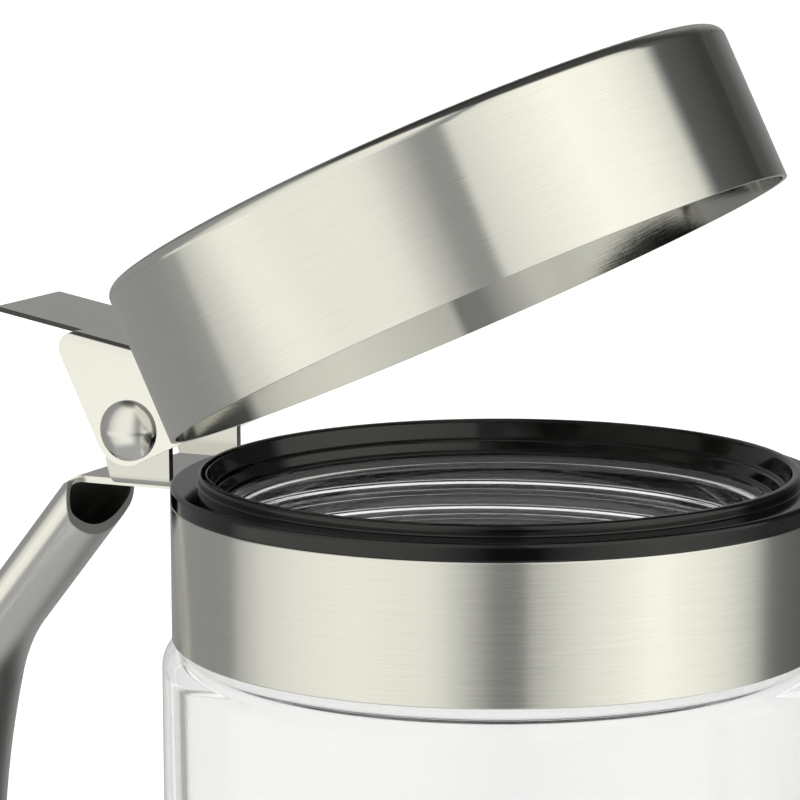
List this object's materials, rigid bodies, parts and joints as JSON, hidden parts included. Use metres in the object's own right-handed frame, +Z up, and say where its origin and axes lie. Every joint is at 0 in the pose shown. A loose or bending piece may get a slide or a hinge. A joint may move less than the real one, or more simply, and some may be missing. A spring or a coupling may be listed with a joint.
{
  "type": "spice jar",
  "caption": "Clear glass spice jar with a screw-on black collar, a steel band and tube handle, and a hinged steel flip lid worked by a thumb lever.",
  "frame": {"origin": "centre of the jar's flat base, on the surface that it stands on", "axes": "+Z up along the jar's axis, -X towards the hinge and the handle, Y along the hinge rivet"},
  "size_m": [0.1186, 0.0804, 0.1529],
  "materials": {
    "clear_glass": "clear soda-lime glass, smooth",
    "pale_silicone": "pale translucent silicone, satin",
    "black_plastic": "glossy black moulded plastic",
    "brushed_steel": "stainless steel, fine brush lines round the axis",
    "polished_steel": "stainless steel, polished"
  },
  "bodies": {
    "jar": {"glass_jar": "clear_glass"},
    "seal": {"neck_seal": "pale_silicone"},
    "collar": {"screw_collar": "black_plastic", "collar_band": "brushed_steel", "hinge_base": "polished_steel", "handle": "polished_steel", "hinge_rivet": "polished_steel"},
    "lid": {"lid_shell": "brushed_steel", "lid_lever": "polished_steel"}
  },
  "joints": [
    {"name": "collar_lift", "type": "slide", "parent": "jar", "child": "seal", "axis": [0, 0, 1], "range_m": [0, 0.0065]},
    {"name": "collar_turn", "type": "hinge", "parent": "seal", "child": "collar", "pos_m": [0, 0, 0.0965], "axis": [0, 0, 1], "range_deg": [0, 720]},
    {"name": "lid_hinge", "type": "hinge", "parent": "collar", "child": "lid", "pos_m": [-0.04445, 0, 0.10295], "axis": [0, -1, 0], "range_deg": [-25.8, 60]}
  ],
  "couplings": [
    {"joint": "collar_lift", "follows": "collar_turn", "m_per_rad": 0.0005093}
  ]
}
